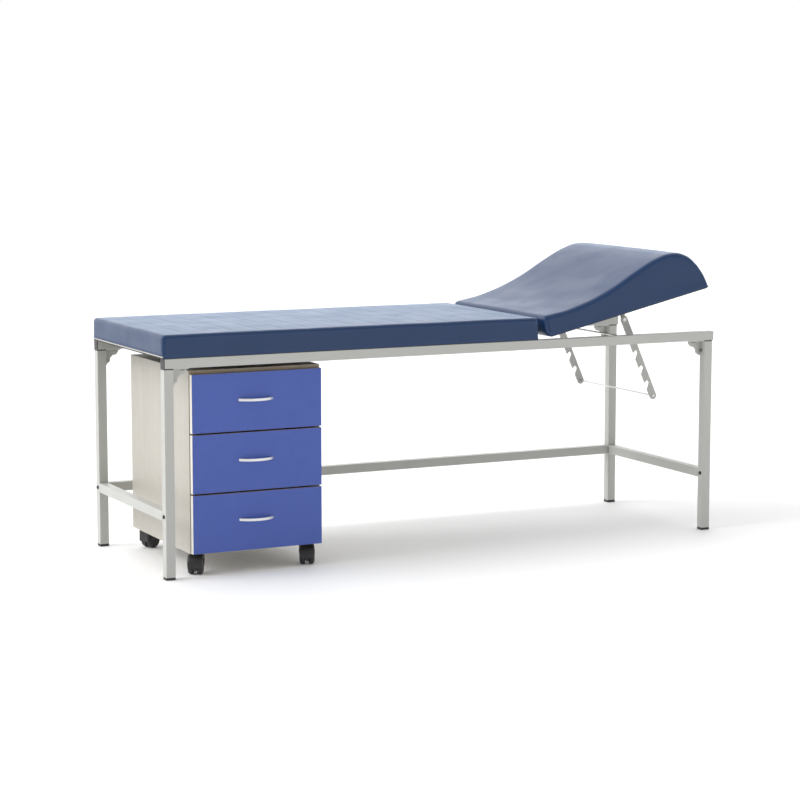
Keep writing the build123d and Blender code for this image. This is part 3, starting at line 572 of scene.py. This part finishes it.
class EXAMCOUCH_OT_main_pad(bpy.types.Operator):
    """Build the long flat pad with its sewn channels, corner seams and end hems"""

    bl_idname = "examcouch.main_pad"
    bl_label = "Main Pad"

    def execute(self, context):
        look = context.scene.exam_couch_pads
        low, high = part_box("main_pad_cushion")
        length, height = high.x - low.x, high.z - low.z
        r, hem_r = look.edge_round, HEM_ROUND
        foot = corner_arc((hem_r, hem_r), hem_r, 225, 180, 3) + corner_arc((r, height - r), r, 180, 135, 4)
        head = corner_arc((length - hem_r, hem_r), hem_r, 315, 360, 3)
        head += corner_arc((length - r, height - r), r, 0, 45, 4)
        top = corner_arc((r, height - r), r, 135, 90, 4) + corner_arc((length - r, height - r), r, 90, 45, 4)
        bottom = corner_arc((hem_r, hem_r), hem_r, 225, 270, 3)
        bottom += corner_arc((length - hem_r, hem_r), hem_r, 270, 315, 3)
        outline = PadOutline(bottom, top, foot, head, columns=330, rows=10)
        half_width = (high.y - low.y) / 2
        mesh = pad_mesh("main_pad_cover", outline, half_width, r, stations=66)
        points = mesh_points(mesh)
        u, y, v = points.T
        upper = np.clip((v - 0.55 * height) / (0.45 * height), 0, 1) ** 2
        near_end = np.minimum(u, length - u)
        near_side = half_width - np.abs(y)
        # The crown and the channels sewn across it
        crown = look.crown * (1 - np.exp(-near_end / CROWN_REACH)) * (1 - np.exp(-near_side / CROWN_REACH))
        sewn = np.zeros_like(u)
        for k in range(1, int(length / look.channel_pitch)):
            wander = CHANNEL_WANDER * np.sin(y * 9 + k)
            sewn += np.exp(-(((u - k * look.channel_pitch - wander) / CHANNEL_WIDTH) ** 2))
        fade = np.clip(near_side / CHANNEL_FADE, 0, 1) ** 0.5
        lift = crown - look.channel_depth * sewn * fade + 0.35 * MM * ripple(u, y, seed=3)
        points[:, 2] += upper * lift
        # Sides and ends pulled in between the corners
        waist = np.sin(math.pi * np.clip(v / height, 0, 1))
        pull = 1.3 * MM * waist + 0.5 * MM * ripple(u, v * 3 + y, seed=5, longest=0.35) * waist
        side = np.clip(1 - near_side / PULL_REACH, 0, 1)
        points[:, 1] -= np.sign(y) * pull * side * np.clip(near_end / CORNER_HOLD, 0, 1)
        end = np.clip(1 - near_end / PULL_REACH, 0, 1)
        points[:, 0] += np.sign(length / 2 - u) * pull * end * np.clip(near_side / CORNER_HOLD, 0, 1)
        # The lower edge of the cover, drawn down over the board
        skirt = (near_side < SKIRT_BAND) & (v < SKIRT_BAND)
        points[skirt, 2] -= low.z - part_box("main_pad_board")[0].z - SKIRT_GAP
        points += (low.x, (low.y + high.y) / 2, low.z)
        move_points(mesh, points)
        cover = vinyl_cover("vinyl_main_pad", look.vinyl)
        pad = add_object("main_pad_cover", mesh, cover, "couch")
        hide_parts("main_pad_cushion")
        self.add_seams(look, low, high, cover)
        return {"FINISHED"}

    def add_seams(self, look, low, high, cover):
        """Beads along the hem of each end and up each corner, partly sunk in the cover."""
        r = look.edge_round
        lines = []
        for x in (low.x + HEM_SUNK, high.x - HEM_SUNK):
            across = np.linspace(low.y + r, high.y - r, 24)
            lines.append([(x, y, low.z + look.seam) for y in across])
        off = (r - CORNER_SUNK) / math.sqrt(2)
        rise = np.linspace(low.z + 2 * MM, high.z - r, 12)
        for x, toward in ((low.x + r, -1), (high.x - r, 1)):
            for y, out in ((low.y + r, -1), (high.y - r, 1)):
                lines.append([(x + toward * off, y + out * off, z) for z in rise])
        seams = tube_mesh("main_pad_seams", lines, look.seam)
        add_object("main_pad_seams", seams, cover, "couch")


class EXAMCOUCH_OT_headrest_pad(bpy.types.Operator):
    """Build the curved headrest pad"""

    bl_idname = "examcouch.headrest_pad"
    bl_label = "Headrest Pad"

    def execute(self, context):
        look = context.scene.exam_couch_pads
        low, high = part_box("headrest_cushion")
        hinge = JOINTS["headrest_tilt"]["pos_m"]
        half_width = (high.y - low.y) / 2
        base = -39.0 * MM
        foot_u, under_r, shoulder_r = 14 * MM, 20 * MM, 16 * MM
        under = (foot_u + under_r, base + under_r)
        shoulder = (foot_u + shoulder_r, 31 * MM - shoulder_r)
        foot = corner_arc(under, under_r, 225, 180, 4) + corner_arc(shoulder, shoulder_r, 180, 135, 4)
        crest = smooth_line([(u * MM, v * MM) for u, v in HEADREST_CREST])
        top = corner_arc(shoulder, shoulder_r, 135, 95, 4) + crest
        nose = smooth_line([(u * MM, v * MM) for u, v in HEADREST_NOSE], 8)
        hem = (646 * MM, base + 0.6 * MM)
        head = [hem, (648 * MM, base + 3 * MM), *reversed(nose)]
        bottom = corner_arc(under, under_r, 225, 270, 4) + [hem]
        outline = PadOutline(bottom, top, foot, head, columns=180, rows=16)
        mesh = pad_mesh("headrest_cover", outline, half_width, look.headrest_round, stations=66)
        points = mesh_points(mesh)
        u, y, v = points.T
        near_side = half_width - np.abs(y)
        # A low crown across the pad, and sides pulled in above the base
        above = np.clip((v + 5 * MM) / (30 * MM), 0, 1)
        crown = HEADREST_CROWN * (1 - np.exp(-near_side / HEADREST_CROWN_REACH))
        points[:, 2] += above * (crown + 0.45 * MM * ripple(u, y, seed=11))
        waist = np.clip((v - base) / (20 * MM), 0, 1)
        side = np.clip(1 - near_side / PULL_REACH, 0, 1)
        pull = (1.2 * MM + 0.6 * MM * ripple(u, v * 2 + y, seed=13, longest=0.3)) * waist
        points[:, 1] -= np.sign(y) * pull * side
        turn = Matrix.Rotation(-HEAD_TILT, 3, "Y")
        points = points @ np.array(turn).T
        points += (hinge[0], (low.y + high.y) / 2, hinge[2])
        move_points(mesh, points)
        cover = vinyl_cover("vinyl_headrest", look.vinyl)
        pad = add_object("headrest_cover", mesh, cover, "headrest")
        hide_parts("headrest_cushion")
        return {"FINISHED"}


class EXAMCOUCH_OT_frame_finish(bpy.types.Operator):
    """Paint the tubes, brackets, caps, bolts and pad boards"""

    bl_idname = "examcouch.frame_finish"
    bl_label = "Frame Finish"

    def execute(self, context):
        look = context.scene.exam_couch_finishes
        paint = powder_coat("powder_coat_grey", look.frame_paint)
        tubes = ["front_top_rail", "back_top_rail"]
        tubes += ["back_stretcher", "foot_end_stretcher", "head_end_stretcher"]
        tubes += [f"leg_{corner}" for corner in CORNERS]
        tubes += ["foot_cross_member", "middle_cross_member", "hinge_cross_member", "corner_brackets"]
        wear(paint, *tubes)
        black = moulded_plastic("cap_black", look.black_plastic)
        wear(black, "foot_caps", "leg_top_plugs", "rail_caps_foot_end")
        wear(moulded_plastic("cap_grey", look.cap_grey), "rail_caps_head_end")
        wear(plated_steel("zinc_bolts", BOLT_ZINC, 0.30), "bracket_bolts", "pad_screws")
        wear(plated_steel("dark_screws", DARK_SCREW, 0.45), "stretcher_screws")
        wear(pad_board("board_stained", BOARD_STAIN), "main_pad_board", "headrest_board")
        return {"FINISHED"}


class EXAMCOUCH_OT_ratchet_finish(bpy.types.Operator):
    """Paint the headrest's hinge and ratchet"""

    bl_idname = "examcouch.ratchet_finish"
    bl_label = "Ratchet Finish"

    def execute(self, context):
        look = context.scene.exam_couch_finishes
        paint = powder_coat("powder_coat_linkage", tuple(c * LINKAGE_SHADE for c in look.frame_paint))
        wear(paint, "ratchet_bar_front", "ratchet_bar_back", "ratchet_lugs", "hinge_uprights", "hinge_straps")
        rods = plated_steel("zinc_rods", ROD_ZINC, 0.28)
        wear(rods, "ratchet_cross_rod", "ratchet_rest_rod", "hinge_rod", "ratchet_pivot_pins")
        return {"FINISHED"}


class EXAMCOUCH_OT_cabinet_finish(bpy.types.Operator):
    """Cover the cabinet's panels, drawers, handles, runners and casters"""

    bl_idname = "examcouch.cabinet_finish"
    bl_label = "Cabinet Finish"

    def execute(self, context):
        look = context.scene.exam_couch_finishes
        upright = laminate("laminate_sides", look.carcass, look.carcass_edge, UPRIGHT_GRAIN, ("Y",))
        wear(upright, "cabinet_left_side", "cabinet_right_side")
        rear = laminate("laminate_back", look.carcass, look.carcass_edge, UPRIGHT_GRAIN, ())
        wear(rear, "cabinet_back")
        level = laminate("laminate_top", look.carcass, look.carcass_edge, LEVEL_GRAIN, ("Y",))
        wear(level, "cabinet_top", "cabinet_bottom")
        face = drawer_front("drawer_face_blue", look.drawer_face, look.drawer_edge, look.carcass_edge)
        boxes = laminate("drawer_box_white", look.drawer_box, look.drawer_box, BOX_GRAIN, ())
        handles = brushed_metal("handle_satin", look.handle, BRUSHING)
        runners = plated_steel("runner_zinc", RUNNER_ZINC)
        for number in (1, 2, 3):
            wear(face, f"drawer_{number}_front")
            wear(boxes, f"drawer_{number}_box")
            wear(handles, f"drawer_{number}_handle")
            wear(runners, f"drawer_{number}_slides")
        wear(runners, "cabinet_runners", "caster_plates")
        hood = moulded_plastic("caster_hood_black", look.black_plastic, 0.40)
        rubber = tuple(c * TREAD_SHADE for c in look.black_plastic)
        tread = moulded_plastic("caster_wheel_black", rubber, 0.50)
        for corner in CORNERS:
            wear(hood, f"caster_{corner}_housing")
            wear(tread, f"caster_{corner}_wheels")
        return {"FINISHED"}


class EXAMCOUCH_OT_stage(bpy.types.Operator):
    """Set up the floor, the light and the camera"""

    bl_idname = "examcouch.stage"
    bl_label = "Stage"

    def execute(self, context):
        look = context.scene.exam_couch_stage
        scene = context.scene
        scene.view_settings.view_transform = "Standard"
        self.add_floor(look)
        self.add_surround(scene, look)
        self.add_sun("key_light", KEY_HEADING, look.key_strength)
        self.add_sun("fill_light", FILL_HEADING, look.fill_strength)
        camera = bpy.data.cameras.new("camera")
        camera.lens = look.lens
        camera.sensor_width = 36.0
        camera.clip_end = 200.0
        holder = bpy.data.objects.new("camera", camera)
        holder.location = CAMERA_PLACE
        holder.rotation_euler = [math.radians(angle) for angle in CAMERA_TURN]
        scene.collection.objects.link(holder)
        scene.camera = holder
        return {"FINISHED"}

    def add_floor(self, look):
        far = FLOOR_REACH
        mesh = bpy.data.meshes.new("floor")
        mesh.from_pydata([(-far, -far, 0), (far, -far, 0), (far, far, 0), (-far, far, 0)], [], [(0, 1, 2, 3)])
        floor = bpy.data.objects.new("floor", mesh)
        bpy.context.scene.collection.objects.link(floor)
        finish = Finish("floor_paint", look.floor, 0.75)
        finish.paint(finish.mottle(1.5, 0.01))
        mesh.materials.append(finish.material)

    def add_surround(self, scene, look):
        """White to look at; it lights the couch more from behind and above than from the front."""
        world = bpy.data.worlds.new("surround")
        world.use_nodes = True
        nodes, links = world.node_tree.nodes, world.node_tree.links
        background = nodes["Background"]
        split = nodes.new("ShaderNodeSeparateXYZ")
        ramp = nodes.new("ShaderNodeMapRange")
        seen = nodes.new("ShaderNodeMix")
        links.new(nodes.new("ShaderNodeTexCoord").outputs["Generated"], split.inputs["Vector"])
        links.new(split.outputs["Y"], ramp.inputs["Value"])
        limits = {"From Min": -0.9, "From Max": 0.7, "To Min": look.dim_side, "To Max": look.bright_side}
        for socket, value in limits.items():
            ramp.inputs[socket].default_value = value
        links.new(nodes.new("ShaderNodeLightPath").outputs["Is Camera Ray"], seen.inputs["Factor"])
        links.new(ramp.outputs["Result"], seen.inputs["A"])
        seen.inputs["B"].default_value = 1.0
        links.new(seen.outputs["Result"], background.inputs["Strength"])
        background.inputs["Color"].default_value = (1.0, 1.0, 1.0, 1.0)
        scene.world = world

    def add_sun(self, name, heading, strength):
        light = bpy.data.lights.new(name, "SUN")
        light.energy = strength
        light.angle = SUN_SPREAD
        holder = bpy.data.objects.new(name, light)
        holder.rotation_euler = Vector(heading).to_track_quat("-Z", "Y").to_euler()
        bpy.context.scene.collection.objects.link(holder)


class EXAMCOUCH_PT_panel(bpy.types.Panel):
    """Sidebar panel with the couch's settings and its build steps"""

    bl_idname = "EXAMCOUCH_PT_panel"
    bl_label = "Exam Couch"
    bl_space_type = "VIEW_3D"
    bl_region_type = "UI"
    bl_category = "Exam Couch"

    def draw(self, context):
        scene = context.scene
        for group in (scene.exam_couch_pads, scene.exam_couch_finishes, scene.exam_couch_stage):
            box = self.layout.box()
            for name in group.bl_rna.properties.keys():
                if name not in ("rna_type", "name"):
                    box.prop(group, name)
        for step in BUILD_STEPS:
            self.layout.operator(step.bl_idname)


SETTINGS = {
    "exam_couch_pads": ExamCouchPads,
    "exam_couch_finishes": ExamCouchFinishes,
    "exam_couch_stage": ExamCouchStage,
}
BUILD_STEPS = (
    EXAMCOUCH_OT_stage,
    EXAMCOUCH_OT_frame_finish,
    EXAMCOUCH_OT_ratchet_finish,
    EXAMCOUCH_OT_cabinet_finish,
    EXAMCOUCH_OT_main_pad,
    EXAMCOUCH_OT_headrest_pad,
)
CLASSES = (*SETTINGS.values(), *BUILD_STEPS, EXAMCOUCH_PT_panel)


def register():
    for cls in CLASSES:
        bpy.utils.register_class(cls)
    for name, group in SETTINGS.items():
        setattr(bpy.types.Scene, name, bpy.props.PointerProperty(type=group))


def unregister():
    for name in SETTINGS:
        delattr(bpy.types.Scene, name)
    for cls in reversed(CLASSES):
        bpy.utils.unregister_class(cls)


def main():
    register()
    for step in BUILD_STEPS:
        family, call = step.bl_idname.split(".")
        getattr(getattr(bpy.ops, family), call)()


if __name__ == "__main__":
    main()
